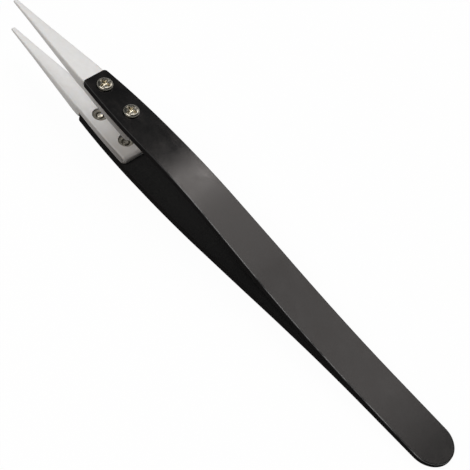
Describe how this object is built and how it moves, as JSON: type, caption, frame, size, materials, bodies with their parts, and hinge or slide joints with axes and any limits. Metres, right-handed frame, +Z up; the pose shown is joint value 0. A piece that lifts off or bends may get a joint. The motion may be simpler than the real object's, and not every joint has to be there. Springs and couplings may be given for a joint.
{
  "type": "tweezers",
  "caption": "Precision tweezers with bowed black spring-steel arms joined at a rounded heel and pointed white ceramic tips screwed inside the front ends, for gripping small parts.",
  "frame": {"origin": "centre of the tool's box, on the surface that the tool lies on", "axes": "+X along the tool from the points to the heel, Y across the width of the arms, +Z up from the surface"},
  "size_m": [0.1298, 0.0086, 0.0153],
  "materials": {
    "arm_coat": "satin black coat on spring steel",
    "tip_ceramic": "fine-ground white zirconia, softly rounded edges",
    "screw_steel": "bright turned steel, cross recess",
    "nut_steel": "bright turned steel",
    "weld_steel": "bare spot-welded steel, hidden between the arms"
  },
  "bodies": {
    "heel": {"heel_weld_front": "weld_steel", "heel_weld_rear": "weld_steel"},
    "upper_jaw": {"upper_arm": "arm_coat", "upper_tip": "tip_ceramic", "upper_screw_front": "screw_steel", "upper_screw_rear": "screw_steel", "upper_nut_front": "nut_steel", "upper_nut_rear": "nut_steel"},
    "lower_jaw": {"lower_arm": "arm_coat", "lower_tip": "tip_ceramic", "lower_screw_front": "screw_steel", "lower_screw_rear": "screw_steel", "lower_nut_front": "nut_steel", "lower_nut_rear": "nut_steel"}
  },
  "joints": [
    {"name": "upper_flex", "type": "hinge", "parent": "heel", "child": "upper_jaw", "pos_m": [0.04294, 0, 0.00222], "axis": [0, -1, 0], "range_deg": [0, 2.09], "stiffness_Nm_per_rad": 2.2},
    {"name": "lower_flex", "type": "hinge", "parent": "heel", "child": "lower_jaw", "pos_m": [0.04294, 0, 0.00222], "axis": [0, 1, 0], "range_deg": [0, 2.09], "stiffness_Nm_per_rad": 2.2}
  ],
  "couplings": [
    {"joint": "lower_flex", "follows": "upper_flex", "ratio": 1}
  ]
}
